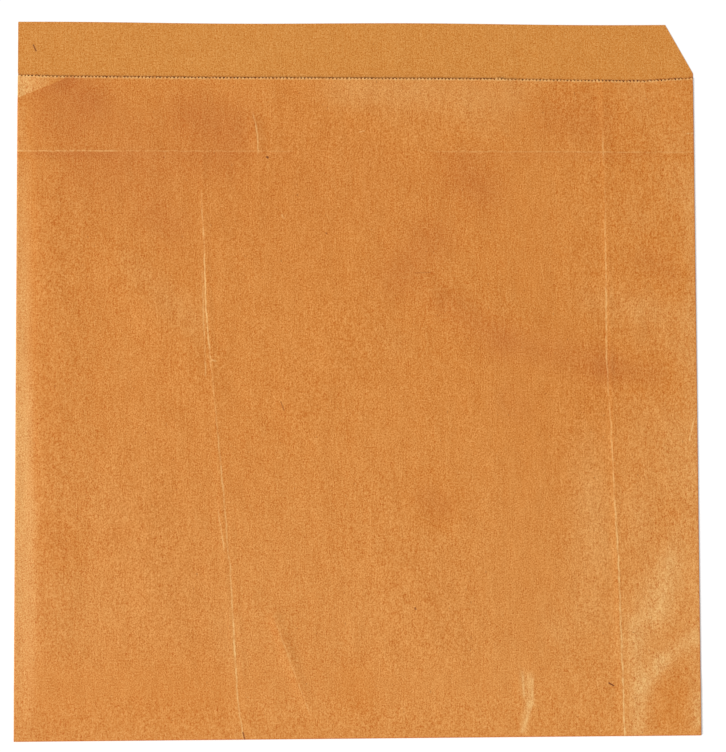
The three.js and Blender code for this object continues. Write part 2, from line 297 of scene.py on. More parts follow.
class Skin:
    """Points and faces gathered patch by patch. Points that fall together are joined at the end."""

    def __init__(self):
        self.points = []
        self.faces = []
        self.inner = []
        self.count = 0

    def _put(self, points):
        points = np.asarray(points, float).reshape(-1, 3)
        start = self.count
        self.points.append(points)
        self.count += len(points)
        return start

    def grid(self, lines, flip=False, inner=0.0):
        """lines has the shape rows, columns, 3."""
        lines = np.asarray(lines, float)
        rows, columns = lines.shape[:2]
        start = self._put(lines)
        for r in range(rows - 1):
            a = start + r * columns + np.arange(columns - 1)
            b = a + columns
            quad = np.stack([a, a + 1, b + 1, b], 1)
            if flip:
                quad = quad[:, ::-1]
            self.faces += quad.tolist()
            self.inner += [inner] * len(quad)

    def zip(self, a, b, flip=False, inner=0.0):
        """Fills between two lines that run the same way along X."""
        a, b = np.asarray(a, float), np.asarray(b, float)
        sa, sb = self._put(a), self._put(b)
        ta = (a[:, 0] - a[0, 0]) / (a[-1, 0] - a[0, 0])
        tb = (b[:, 0] - b[0, 0]) / (b[-1, 0] - b[0, 0])
        i = j = 0
        while i + 1 < len(a) or j + 1 < len(b):
            next_a = ta[i + 1] if i + 1 < len(a) else math.inf
            next_b = tb[j + 1] if j + 1 < len(b) else math.inf
            if next_a <= next_b:
                face = [sa + i, sa + i + 1, sb + j]
                i += 1
            else:
                face = [sa + i, sb + j + 1, sb + j]
                j += 1
            self.faces.append(face[::-1] if flip else face)
            self.inner.append(inner)

    def fan(self, line, flip=False):
        """One flat face round a closed line."""
        start = self._put(line)
        face = list(range(start, start + len(line)))
        self.faces.append(face[::-1] if flip else face)
        self.inner.append(0.0)

    def mesh(self, name):
        """The joined mesh in metres. Faces that lose all but two corners are left out."""
        points = np.concatenate(self.points)
        _, first, back = np.unique(np.round(points, 4), axis=0, return_index=True, return_inverse=True)
        back = back.reshape(-1)
        faces = []
        inner = []
        for face, value in zip(self.faces, self.inner):
            ids = []
            for k in face:
                k = int(back[k])
                if k not in ids:
                    ids.append(k)
            if len(ids) > 2:
                faces.append(ids)
                inner.append(value)
        mesh = bpy.data.meshes.new(name)
        mesh.from_pydata((points[first] * MM).tolist(), [], faces)
        mesh.attributes.new("inner_face", "FLOAT", "FACE").data.foreach_set("value", inner)
        mesh.update()
        return mesh


def arc(x, y, z, radius, start, stop):
    """Points of a side fold in a row, both ends straight above or below the centre."""
    angle = np.linspace(start, stop, FOLD_CELLS + 1)
    px = x + radius * np.cos(angle)
    px[0] = px[-1] = x
    return np.stack([px, np.full_like(px, y), z + radius * np.sin(angle)], 1)


def lift(line, dz):
    """The same points, dz mm higher."""
    return np.asarray(line) + np.array([0, 0, dz])


def saw_line(mouth):
    """The saw-cut edge: uneven teeth with a few tall ones."""
    rng = np.random.default_rng(SEED)
    x0, x1 = mouth[0, 0], mouth[-1, 0]
    teeth = round((x1 - x0) / TOOTH_PITCH)
    pitch = (x1 - x0) / teeth
    xs, ys = [], []
    for k in range(teeth):
        left = x0 + (x1 - x0) * k / teeth
        deep = TOOTH_DEPTH * rng.uniform(*DEPTH_RANGE)
        tall = 0.0
        for at, extra in TALL_TEETH:
            tall += extra * max(0, 1 - abs(left - at) / TALL_OVER)
        tip = rng.uniform(*TIP_RANGE)
        xs += [left, left + (tip - TIP_HALF) * pitch, left + (tip + TIP_HALF) * pitch]
        top = deep / 2 + tall
        root = -deep / 2 + rng.uniform(-ROOT_SHIFT, ROOT_SHIFT)
        ys += [root, top, top + rng.uniform(-TIP_SHIFT, TIP_SHIFT)]
    xs.append(x1)
    ys.append(0.0)
    ys[0] = 0.0
    xs = np.array(xs)
    return np.stack([xs, mouth_y(xs) + ys, np.interp(xs, mouth[:, 0], mouth[:, 2])], 1)


def front_panel(rows, step, inset):
    """The front panel row by row, inset mm under its outer face."""
    lines = []
    for v in rows:
        xs = make_columns(v, step)
        lines.append(np.stack([xs, row_y(xs, v), front_z(xs, v) - inset], 1))
    return np.array(lines)


def shell(rows, inset):
    """Left fold, right fold and back panel row by row, inset mm from their outer faces."""
    quarter = math.pi / 2
    left, right, back = [], [], []
    for k, v in enumerate(rows):
        radius = float(left_radius(v))
        start = LEFT + radius
        z = float(back_z(v))
        y = float(row_y(start, v))
        left.append(arc(start, y, z + radius, radius - inset, quarter, 3 * quarter))
        y = float(row_y(RIGHT_TOP, v))
        right.append(arc(RIGHT_TOP, y, z + PRESSED, PRESSED - inset, -quarter, quarter))
        # The lip starts at the last row and is as wide as the bag.
        stop = RIGHT if k == len(rows) - 1 else RIGHT_TOP
        xs = np.linspace(start, stop, BACK_CELLS + 1)
        back.append(np.stack([xs, row_y(xs, v), np.full_like(xs, z + inset)], 1))
    return np.array(left), np.array(right), np.array(back)


def add_inside(skin, rows, saw):
    """Inside of the front panel with the glue flap on the right, and the cut edges of both."""
    under = front_panel(rows, COARSE, PAPER)
    seam = int(np.argmin(np.abs(under[0, :, 0] - flap_x(rows[0]))))
    flap = lift(under[:, seam:], -PAPER)
    flap[:, 0, 0] += PAPER / 2
    skin.grid(np.concatenate([under[:-1, : seam + 1], flap[:-1]], 1), flip=True, inner=1.0)
    skin.zip(under[-2], lift(saw, -PAPER), flip=True, inner=1.0)
    skin.grid([saw, lift(saw, -PAPER)], flip=True)
    skin.grid([flap[-2], under[-2, seam:]])


def add_sides(skin, front, outer, inner):
    """Side folds, the inside of the back panel, and the edges at the mouth."""
    left, right, _ = outer
    inner_left, inner_right, inner_back = inner
    edge = front[:, -1]
    skin.grid(left, flip=True)
    skin.grid(right[:-1], flip=True)
    skin.grid(np.stack([lift(edge, -PAPER), edge], 1), flip=True)
    skin.grid(inner_left, inner=1.0)
    skin.grid(inner_right[:-1], inner=1.0)
    skin.grid(inner_back, inner=1.0)
    skin.grid([inner_left[-1], left[-1]])
    skin.grid([inner_right[-2], right[-2]])


def add_bottom(skin, front, outer, turn):
    """Bottom fold, the turn-up, and the underside of the back panel from row turn on."""
    left, right, back = outer
    fold = []
    for m in range(BOTTOM_CELLS + 1):
        angle = math.pi * m / BOTTOM_CELLS
        line = front[0].copy()
        line[:, 1] -= BOTTOM_RADIUS * math.sin(angle)
        line[:, 2] *= (1 + math.cos(angle)) / 2
        fold.append(line)
    skin.grid(fold, flip=True)
    turned = back[: turn + 1].copy()
    turned[:, :, 2] = 0
    skin.zip(fold[-1], turned[1], flip=True)
    skin.grid(turned[1:], flip=True)
    skin.grid([turned[turn], back[turn]], flip=True)
    skin.grid(back[turn:], flip=True)
    skin.grid(np.stack([back[: turn + 1, 0], turned[:, 0]], 1), flip=True)
    skin.grid(np.stack([turned[:, -1], back[: turn + 1, -1]], 1), flip=True)
    skin.fan([p[0] for p in fold] + [left[0][-1]])
    skin.fan([p[-1] for p in fold] + [right[0][0], right[0][-1]], flip=True)
    skin.fan(left[0])
    skin.fan(right[0])


def add_lip(skin, back):
    """The back panel past the mouth, with its cut corner."""
    cut_y = TOP - CHAMFER_ALONG
    levels = [float(mouth_y(LEFT)) + LIP_START] + list(np.linspace(cut_y, TOP, LIP_CELLS + 1))
    lip = [back[-1]]
    for y in levels:
        cut = CHAMFER_ACROSS * max(0, (y - cut_y) / CHAMFER_ALONG)
        across = np.linspace(LEFT, RIGHT - cut, BACK_CELLS + 1)
        wave = LIP_WAVE * np.sin(across / LIP_WAVE_RADIAN + 0.6) * ease((y - cut_y) / CHAMFER_ALONG)
        lip.append(np.stack([across, y + wave, np.zeros_like(across)], 1))
    lip = np.array(lip)
    right = np.concatenate([back[-2, -1:], lip[:, -1]])
    skin.grid(lip, flip=True)
    skin.grid(lift(lip, PAPER), inner=1.0)
    skin.grid(np.stack([lift(lip[:, 0], PAPER), lip[:, 0]], 1), flip=True)
    skin.grid(np.stack([right, lift(right, PAPER)], 1), flip=True)
    skin.grid([lip[-1], lift(lip[-1], PAPER)], flip=True)


def make_bag():
    """The whole folded sheet as one mesh."""
    skin = Skin()
    rows, turn = make_rows(FINE)
    thin_rows, _ = make_rows(COARSE)
    front = front_panel(rows, FINE, 0)
    outer = shell(rows, 0)
    saw = saw_line(front[-1])
    skin.grid(front[:-1])
    skin.zip(front[-2], saw)
    add_inside(skin, thin_rows, saw)
    add_sides(skin, front, outer, shell(thin_rows, PAPER))
    add_bottom(skin, front, outer, turn)
    add_lip(skin, outer[2])
    return skin.mesh("paper_bag_look")


class Nodes:
    """A short way to write a node tree."""

    def __init__(self, tree):
        self.tree = tree

    def new(self, kind, **settings):
        node = self.tree.nodes.new(kind)
        for key, value in settings.items():
            setattr(node, key, value)
        return node

    def wire(self, value, socket):
        """Links another node's output to the socket, or sets the socket to a constant."""
        if isinstance(value, bpy.types.NodeSocket):
            self.tree.links.new(value, socket)
        else:
            socket.default_value = value

    def math(self, operation, a, b=0.0, c=0.0, clamp=False):
        node = self.new("ShaderNodeMath", operation=operation, use_clamp=clamp)
        for value, socket in zip((a, b, c), node.inputs):
            self.wire(value, socket)
        return node.outputs[0]

    def noise(self, where, scale, detail, rough):
        """Noise in object space. scale is repeats per metre along X, Y and Z."""
        place = self.new("ShaderNodeMapping")
        self.wire(where, place.inputs["Vector"])
        place.inputs["Scale"].default_value = scale
        node = self.new("ShaderNodeTexNoise")
        self.wire(place.outputs[0], node.inputs["Vector"])
        node.inputs["Scale"].default_value = 1.0
        node.inputs["Detail"].default_value = detail
        node.inputs["Roughness"].default_value = rough
        return node.outputs[0]

    def band(self, value, start, stop):
        """0 below start and 1 above stop, smooth between them."""
        node = self.new("ShaderNodeMapRange", interpolation_type="SMOOTHSTEP")
        self.wire(value, node.inputs["Value"])
        node.inputs["From Min"].default_value = start
        node.inputs["From Max"].default_value = stop
        return node.outputs[0]

    def vector(self, operation, a, b=None, scale=None):
        node = self.new("ShaderNodeVectorMath", operation=operation)
        self.wire(a, node.inputs[0])
        if b is not None:
            self.wire(b, node.inputs[1])
        if scale is not None:
            self.wire(scale, node.inputs["Scale"])
        return node.outputs["Value" if operation in ("DOT_PRODUCT", "LENGTH") else "Vector"]

    def line(self, point, start, stop, half, strength):
        """strength on a line between two points in mm, fading to 0 at half mm from it."""
        x0, y0, x1, y1 = (c * MM for c in (*start, *stop))
        span = (x1 - x0, y1 - y0, 0)
        share = 1 / (span[0] ** 2 + span[1] ** 2)
        away = self.vector("SUBTRACT", point, (x0, y0, 0))
        t = self.vector("DOT_PRODUCT", away, (span[0] * share, span[1] * share, 0))
        t = self.math("ADD", t, 0.0, clamp=True)
        nearest = self.vector("SCALE", span, scale=t)
        far = self.vector("LENGTH", self.vector("SUBTRACT", away, nearest))
        node = self.new("ShaderNodeMapRange", interpolation_type="SMOOTHSTEP")
        self.wire(far, node.inputs["Value"])
        node.inputs["From Min"].default_value = half * MM
        node.inputs["From Max"].default_value = half * MM * 0.25
        node.inputs["To Max"].default_value = strength
        return node.outputs[0]

    def lines(self, point, marks):
        """The strongest of several short lines."""
        best = 0.0
        for half, strength, start, stop in marks:
            best = self.math("MAXIMUM", best, self.line(point, start, stop, half, strength))
        return best

    def split(self, vector):
        node = self.new("ShaderNodeSeparateXYZ")
        self.wire(vector, node.inputs[0])
        return node.outputs[0], node.outputs[1]

    def curve(self, value, start, size, points):
        """A level over a coordinate, straight between points of place and level. Lengths are in mm."""
        share = self.math("MULTIPLY_ADD", value, 1 / (size * MM), -start / size)
        node = self.new("ShaderNodeFloatCurve")
        self.wire(share, node.inputs["Value"])
        line = node.mapping.curves[0]
        for k, (at, level) in enumerate(points):
            place = (min(1, max(0, (at - start) / size)), level)
            if k < 2:
                line.points[k].location = place
                knot = line.points[k]
            else:
                knot = line.points.new(*place)
            knot.handle_type = "VECTOR"
        node.mapping.update()
        return node.outputs[0]

    def crease(self, x, y, points):
        """A rubbed line that runs along the bag: strength on it, 0 at CREASE_HALF from it."""
        bottom = -LENGTH / 2
        middle = self.curve(y, bottom, LENGTH, [(py, (px - LEFT) / WIDTH) for px, py, _ in points])
        strength = self.curve(y, bottom, LENGTH, [(py, level) for _, py, level in points])
        share = self.math("MULTIPLY_ADD", x, 1 / (WIDTH * MM), -LEFT / WIDTH)
        far = self.math("ABSOLUTE", self.math("SUBTRACT", share, middle))
        near = self.band(far, CREASE_HALF / WIDTH, CREASE_HALF / WIDTH * 0.25)
        return self.math("MULTIPLY", near, strength)

    def between(self, shares, low, high):
        """From colour low to colour high, with a share each for red, green and blue."""
        span = [b - a for a, b in zip(low[:3], high[:3])]
        return self.vector("ADD", self.vector("MULTIPLY", shares, span), low[:3])

    def mix(self, share, a, b):
        """Colour a where share is 0 and colour b where it is 1."""
        node = self.new("ShaderNodeMix", data_type="RGBA")
        for value, socket in ((share, node.inputs[0]), (a, node.inputs[6]), (b, node.inputs[7])):
            self.wire(value, socket)
        return node.outputs[2]


def linear(r, g, b):
    """A colour as read on screen, 0 to 255, as scene-linear."""
    def one(c):
        c /= 255
        return c / 12.92 if c <= 0.04045 else ((c + 0.055) / 1.055) ** 2.4
    return (one(r), one(g), one(b), 1.0)


# The two tones that the grain runs between, outside and inside.
OUTSIDE = (linear(180, 79, 0), linear(239, 170, 98))
INSIDE = (linear(178, 84, 0), linear(238, 174, 102))
# Between them blue follows this power of the share, so it rises later and pale specks are whiter.
BLUE_POWER = 1.5
# A painted sheen and a painted shade for the broad patches, a pale one for rubs and a dark one for nicks,
# the painted shadow on the lip behind the mouth edge, and the tone of the darker right and bottom edges.
PAINTED_SHEEN = linear(255, 217, 146)
PAINTED_SHADE = linear(152, 30, 0)
PALE = linear(248, 200, 130)
DARK = linear(128, 66, 26)
SHADE = linear(118, 38, 4)
DARK_EDGE = linear(186, 100, 36)

# Long rubbed creases from the bottom up: x, y and strength.
CREASES = [
    [(-43.0, -132.1, 0.5), (-44.9, -118.6, 0.55), (-46.0, -100.4, 0.85), (-46.9, -85, 0.6),
     (-47.8, -69.2, 0.4), (-48.6, -64.4, 0.4), (-49.4, -50.8, 0.45), (-51.2, -32.3, 0.5),
     (-52.4, -19.3, 0.3), (-54.4, 2.2, 0.15), (-55.0, 6.6, 0.65), (-56.7, 25.2, 0.8),
     (-57.4, 49.9, 0.55), (-58.4, 67.1, 0.25), (-58.6, 72, 0)],
    [(-49.9, -65, 0), (-50.0, -62.9, 0.5), (-50.7, -57.8, 0.55), (-51.8, -50.7, 0.4), (-52.0, -47, 0),
     (-56.6, -1, 0), (-56.7, 2.2, 0.35), (-57.4, 17.8, 0.4), (-58.0, 38.3, 0.3), (-58.1, 41, 0)],
    [(98.2, -132.4, 0.85), (97.6, -104.8, 0.8), (97.0, -85.2, 0.9), (96.5, -66.7, 0.8),
     (95.4, -47.1, 0.55), (94.2, -15.8, 0.35), (93.5, -8.7, 0.2), (92.8, 9.3, 0.55), (93.0, 34.1, 0.52),
     (92.9, 55.1, 0.3), (93.0, 71.8, 0.14), (92.5, 80, 0.08), (92.4, 84.6, 0.45), (92.3, 89.9, 0.35),
     (92.3, 93, 0)],
    [(-18.3, -125.5, 0), (-18.8, -123, 0.25), (-25.7, -104.2, 0.3), (-31.0, -90, 0.2), (-31.2, -87, 0),
     (-37.4, 83, 0), (-37.4, 85.2, 0.5), (-37.4, 90.8, 0.55), (-38.8, 97.2, 0.4), (-39.2, 100, 0)],
]
CREASE_HALF = 0.42

# The crease across the bag: its height, and its strength along X, for its pale rub and for the painted
# shade under it.
CROSS_Y = 84.7
CROSS_RUB = [(-127, 0.4), (-90.6, 0.4), (-88, 0.2), (-25.4, 0.16), (-24, 0), (27, 0), (28, 0.2),
             (127, 0.24)]

# How dark the painted shadow on the lip is right behind the mouth edge, along X.
MOUTH_SHADE = [(-127, 0.6), (-105, 0.7), (-60, 0.9), (-36, 1), (50, 1), (53, 0.6), (56, 0.25), (86, 0.3),
               (89, 0.9), (104, 0.9), (127, 0.8)]

# Short pale rubs and dark nicks: half width, strength, two ends.
RUBS = [
    (0.4, 0.75, (0.8, 92.0), (2.3, 92.4)),
    (0.4, 0.75, (124.0, 91.8), (126.6, 92.0)),
    (0.4, 0.6, (-54.4, 6.6), (-53.0, 6.2)),
    (0.4, 0.7, (-28.4, 60.7), (-27.7, 59.6)),
    (0.5, 0.6, (125.6, -16.0), (123.8, -23.7)),
    (0.6, 0.45, (60.2, -109.5), (60.9, -118.0)),
    (0.6, 0.5, (64.0, -112.0), (64.0, -121.0)),
    (0.7, 0.55, (64.0, -121.0), (60.0, -131.5)),
    (0.7, 0.3, (106.5, -114.5), (115.0, -106.5)),
    (0.7, 0.3, (110.0, -90.5), (114.0, -80.5)),
]
NICKS = [
    (0.4, 0.9, (-121.3, 124.8), (-120.3, 122.6)),
    (0.6, 1.0, (-34.0, 82.5), (-33.7, 82.3)),
    (0.4, 0.6, (-12.0, 54.0), (-11.8, 53.8)),
    (0.28, 0.6, (-28.9, -9.0), (-27.8, -12.0)),
    (0.5, 0.8, (20.6, -85.4), (20.8, -85.8)),
    (0.42, 1.0, (92.6, -113.7), (94.3, -114.7)),
    (0.4, 0.85, (-43.0, -130.7), (-42.4, -133.2)),
    (0.35, 0.25, (21.2, 39.0), (26.8, 39.2)),
]

# Broad patches of painted sheen and shade on the front panel, where its swells face towards or away from
# the lamp: two ends, half width, and how much painted sheen (or, below 0, how much painted shade).
PATCHES = [
    # Upper strip, above the cross crease.
    (-107, 108, -101, 105, 8, -0.20),
    (-116, 97, -108, 93, 8, -0.11),
    (-62, 98, -48, 93, 10, -0.17),
    (-94, 97, -84, 92, 10, -0.08),
    (-2, 108, 60, 106, 9, 0.075),
    (42, 98, 46, 94, 8, 0.03),
    (14, 94, 26, 86, 7, 0.03),
    (74, 98, 90, 96, 9, -0.09),
    (104, 108, 108, 104, 6, 0.04),
    (-10, 108, 22, 108, 7, 0.05),
    # Upper half.
    (-100, 70, 0, 72, 30, -0.04),
    (-104, 80, -50, 79, 7, -0.08),
    (119, 88, 120, 70, 7, 0.05),
    (-105, 71, -78, 70, 8, -0.04),
    (40, 76, 46, 71, 9, -0.15),
    (-76, 61, -70, 57, 7, -0.09),
    (102, 63, 107, 58, 6, 0.035),
    (28, 52, 16, 38, 9, -0.12),
    (110, 44, 118, 38, 6, -0.09),
    (-2, 52, 0, 46, 6, 0.025),
    (-86, 44, -62, 22, 6, 0.06),
    (86, 29, 124, 22, 5, 0.06),
    (32, 28, 52, 15, 7, -0.12),
    (56, 13, 92, 5, 7, -0.11),
    (92, 3, 110, 1, 6, -0.14),
    (119, 12, 122, 8, 5, 0.05),
    (12, 14, 14, 12, 6, 0.03),
    # Lower half.
    (127, 72, 127, -128, 5, 0.09),
    (108, 25, 108, -85, 12, 0.04),
    (85, -27, 85, -88, 7, 0.06),
    (-112, -117, -60, -117, 18, -0.05),
    (56, -9, 60, -12, 7, -0.08),
    (118, -20, 120, -40, 7, 0.07),
    (26, -45, 30, -48, 7, -0.12),
    (-92, -45, -90, -48, 7, 0.03),
    (-112, -58, -108, -64, 6, -0.08),
    (87, -44, 90, -66, 5, 0.06),
    (102, -48, 104, -58, 6, 0.05),
    (-48, -92, -46, -104, 6, 0.035),
    (72, -92, 74, -96, 6, 0.04),
    (-2, -112, -1, -118, 7, -0.06),
    # Painted highlights on the crinkled, glossy corner right of the seam and on the wedge at the bottom,
    # and a little painted shade.
    (120.5, -56, 117, -68, 4.5, 0.07),
    (116, -70, 110, -88, 5.5, 0.14),
    (114, -80, 104, -100, 9, 0.07),
    (125.8, -96, 112, -106, 3.2, 0.15),
    (112, -106, 105, -116, 3.2, 0.17),
    (102.4, -92, 102, -132, 3.6, 0.13),
    (105, -112, 104, -130, 3, 0.1),
    (126.5, -120, 126.5, -128, 2.5, 0.18),
    (118, -118, 116, -126, 6, -0.06),
    (60.2, -109.5, 61, -118, 1.2, 0.12),
    (63, -111, 63.2, -121, 1.3, 0.22),
    (62.6, -121, 60.6, -131, 1.3, 0.22),
]

# Painted sheen in a band along the left fold, where the rolled paper faces the lamp: the X where it ends,
# how much it widens to the bottom and how much it wavers, and the width over which it fades. In mm.
BAND_END = -119.6
BAND_WIDENS = 2.5
BAND_WAVER = 0.5
BAND_FADE = 4.8
# A little painted sheen on the lower half.
LOWER_PAINTED_SHEEN = 0.05
# Strength of the painted sheen band along Y.
LEFT_BAND = [(-133, 0.02), (-118, 0.06), (-94, 0.12), (-70, 0.16), (-46, 0.21), (-22, 0.25), (0, 0.22),
             (49, 0.15), (73, 0.12), (100, 0.09)]

# Layers of the grain: repeats per metre along X, Y and Z, detail, roughness, and weight in the colour.
LAYERS = {
    "speck": ((2500, 1900, 900), 2.0, 0.7, 1.8),
    "grain": ((1500, 900, 900), 4.0, 0.65, 0.6),
    "streak": ((2300, 190, 400), 3.0, 0.6, 0.5),
    "mottle": ((170, 120, 120), 3.0, 0.5, 0.12),
    "cloud": ((28, 22, 20), 2.0, 0.5, 0.1),
}

# The flattened corner at the left of the mouth, lighter by a painted highlight where it tilts to the lamp,
# in mm: the direction across its edge, how far the edge is in that direction, and half the width over which
# it changes. Then the X where it starts and is full.
CORNER_ACROSS = (-0.381, 0.924, 0)
CORNER_EDGE = 145.05
CORNER_SOFT = 0.15
CORNER_X = (-106, -120)
CORNER_PAINTED_HIGHLIGHT = 0.19
# The shade under that corner: how far down it goes, its X, and how deep it is.
CORNER_SHADE_OVER = 6
CORNER_SHADE_X = (-98, -106)
CORNER_SHADE = -0.12
# The shade under the cross crease: the Y where it starts and where it is full, and how deep it is.
CROSS_SHADE_Y = (80, 84)
CROSS_SHADE = -0.32
# Half the width of the cross crease.
CROSS_HALF = 0.4
# Distances in mm, each pair where a mark starts and where it is full. From the mouth edge: both sides of
# the painted shadow on the lip, and the pale torn edge. From the outline: the darker right and bottom
# edges.
BEHIND_FROM = (-1.0, -0.35)
BEHIND_TO = (0.6, 0.3)
TORN_OVER = (0.75, 0.2)
DARK_EDGE_OVER = (0.75, 0.2)
# Long creases wander within a band this wide, in mm, at this noise scale per metre.
DRIFT = 0.9
DRIFT_SCALE = 260
# Noise levels where flecks start and are full, and how dark they are. Then those where a line is
# faintest and full.
FLECK_LEVELS = (0.765, 0.80)
FLECK_SHARE = 0.35
BREAK_LEVELS = (0.36, 0.62)
# How pale the torn edge at the mouth is, partly a painted highlight, and how dark the right and bottom
# edges are.
TORN_SHARE = 0.6
DARK_EDGE_SHARE = 0.45
# Bumps of the fine fibres and of the broad unevenness: strength, and depth in mm.
FINE_BUMP = (0.12, 0.12)
BROAD_BUMP = (0.5, 0.4)
# Least roughness, and how much the streaks add to it.
ROUGHNESS = 0.56
STREAK_ROUGHNESS = 0.16


def attribute(n, name):
    return n.new("ShaderNodeAttribute", attribute_name=name).outputs["Fac"]


def in_mm(n, value, start, full):
    """A band over a length: 0 before start and 1 after full, both in mm."""
    return n.band(value, start * MM, full * MM)


def window(n, value, start, full, full_end, stop):
    """0 outside start and stop in mm, and 1 between full and full_end."""
    return n.math("MULTIPLY", in_mm(n, value, start, full), in_mm(n, value, stop, full_end))


def paper_grain(n, where):
    """The noise layers, and their sum as a share from 0 to 1."""
    layers = {}
    share = 0.5
    for name, (scale, detail, rough, weight) in LAYERS.items():
        layers[name] = n.noise(where, scale, detail, rough)
        share = n.math("ADD", share, n.math("MULTIPLY_ADD", layers[name], weight, -weight / 2))
    return layers, n.math("ADD", share, 0.0, clamp=True)


def grain_colour(n, share, inner):
    """The grain between its two tones, outside and inside."""
    shares = n.new("ShaderNodeCombineXYZ")
    for value, socket in zip((share, share, n.math("POWER", share, BLUE_POWER)), shares.inputs):
        n.wire(value, socket)
    outside = n.between(shares.outputs[0], *OUTSIDE)
    return n.mix(inner, outside, n.between(shares.outputs[0], *INSIDE))


def painted_light(n, colour, share, x, y, flat, outer):
    """Painted sheen and shade: the broad patches, the painted shade under the cross crease, and the painted
    highlight on the flattened corner of the mouth with the painted shade under it.
    """
    # The painted shade under the cross crease.
    cross = window(n, y, *CROSS_SHADE_Y, CROSS_Y - CROSS_HALF, CROSS_Y)
    cross = n.math("MULTIPLY", cross, n.curve(x, LEFT, WIDTH, CROSS_RUB))
    painted_sheen_and_shade = n.math("MULTIPLY_ADD", cross, CROSS_SHADE, attribute(n, "painted_sheen_and_shade"))
    # The painted highlight on the flattened corner, and the painted shade under it.
    over = n.vector("DOT_PRODUCT", flat, CORNER_ACROSS)
    start, full = CORNER_EDGE - CORNER_SOFT, CORNER_EDGE + CORNER_SOFT
    corner = n.math("MULTIPLY", in_mm(n, over, start, full), in_mm(n, x, *CORNER_X))
    under = window(n, over, CORNER_EDGE - CORNER_SHADE_OVER, start - 0.1, start, full)
    under = n.math("MULTIPLY", under, in_mm(n, x, *CORNER_SHADE_X))
    painted_sheen_and_shade = n.math("MULTIPLY_ADD", corner, CORNER_PAINTED_HIGHLIGHT, painted_sheen_and_shade)
    painted_sheen_and_shade = n.math("MULTIPLY_ADD", under, CORNER_SHADE, painted_sheen_and_shade)
    painted_sheen_and_shade = n.math("MULTIPLY", painted_sheen_and_shade, outer)
    sheen_share = n.math("MULTIPLY", painted_sheen_and_shade, n.math("MULTIPLY", share, 2.0), clamp=True)
    colour = n.mix(sheen_share, colour, PAINTED_SHEEN)
    return n.mix(n.math("MULTIPLY", painted_sheen_and_shade, -1.0, clamp=True), colour, PAINTED_SHADE)


def marked(n, colour, where, x, flat, inner, outer):
    """Flecks, the painted shadow and the pale torn edge at the mouth, rubbed creases and nicks."""
    fleck = n.band(n.noise(where, (1100, 520, 500), 1.0, 0.5), *FLECK_LEVELS)
    colour = n.mix(n.math("MULTIPLY", fleck, FLECK_SHARE), colour, DARK)
    broken = n.band(n.noise(where, (900, 420, 300), 2.0, 0.6), *BREAK_LEVELS)
    broken = n.math("MULTIPLY_ADD", broken, 0.75, 0.25)

    # The lip gets a painted shadow right behind the mouth edge, and the torn edge itself is pale: its paler
    # fibres and a painted highlight where it curls up to the light. to_mouth is in mm.
    to_mouth = attribute(n, "to_mouth")
    mouth_shadow = n.math("MULTIPLY", n.band(to_mouth, *BEHIND_FROM), n.band(to_mouth, *BEHIND_TO))
    mouth_shadow = n.math("MULTIPLY", mouth_shadow, n.curve(x, LEFT, WIDTH, MOUTH_SHADE))
    mouth_shadow = n.math("MULTIPLY", mouth_shadow, n.math("MULTIPLY", broken, inner))
    colour = n.mix(mouth_shadow, colour, SHADE)
    rub = n.math("MULTIPLY", n.band(to_mouth, *TORN_OVER), TORN_SHARE)

    # Rubbed creases. Their points wander a little and the lines break up.
    drift = n.new("ShaderNodeTexNoise")
    n.wire(where, drift.inputs["Vector"])
    drift.inputs["Scale"].default_value = DRIFT_SCALE
    offset = n.vector("SUBTRACT", drift.outputs["Color"], (0.5, 0.5, 0.5))
    offset = n.vector("MULTIPLY", offset, (DRIFT * MM, DRIFT * MM, 0))
    px, py = n.split(n.vector("ADD", flat, offset))
    for crease in CREASES:
        rub = n.math("MAXIMUM", rub, n.crease(px, py, crease))
    far = n.math("ABSOLUTE", n.math("ADD", py, -CROSS_Y * MM))
    cross = in_mm(n, far, CROSS_HALF, CROSS_HALF / 4)
    cross = n.math("MULTIPLY", cross, n.curve(x, LEFT, WIDTH, CROSS_RUB))
    rub = n.math("MAXIMUM", n.math("MAXIMUM", rub, cross), n.lines(flat, RUBS))
    rub = n.math("MULTIPLY", n.math("MULTIPLY", rub, broken), outer)
    colour = n.mix(rub, colour, PALE)
    return n.mix(n.lines(flat, NICKS), colour, DARK)


def edged(n, colour, x, y):
    """The right and the bottom edges are darker."""
    start, full = DARK_EDGE_OVER
    right = in_mm(n, x, RIGHT - start, RIGHT - full)
    bottom = in_mm(n, y, -LENGTH / 2 + start, -LENGTH / 2 + full)
    edge = n.math("MAXIMUM", right, bottom)
    return n.mix(n.math("MULTIPLY", edge, DARK_EDGE_SHARE), colour, DARK_EDGE)


def bumped(n, layers):
    """Fine fibre relief, and a broader unevenness of the sheet."""
    height = n.math("MULTIPLY", n.math("ADD", layers["streak"], layers["grain"]), 0.5)
    normal = None
    for level, (strength, distance) in ((height, FINE_BUMP), (layers["mottle"], BROAD_BUMP)):
        bump = n.new("ShaderNodeBump")
        bump.inputs["Strength"].default_value = strength
        bump.inputs["Distance"].default_value = distance * MM
        n.wire(level, bump.inputs["Height"])
        if normal is not None:
            n.wire(normal, bump.inputs["Normal"])
        normal = bump.outputs[0]
    return normal


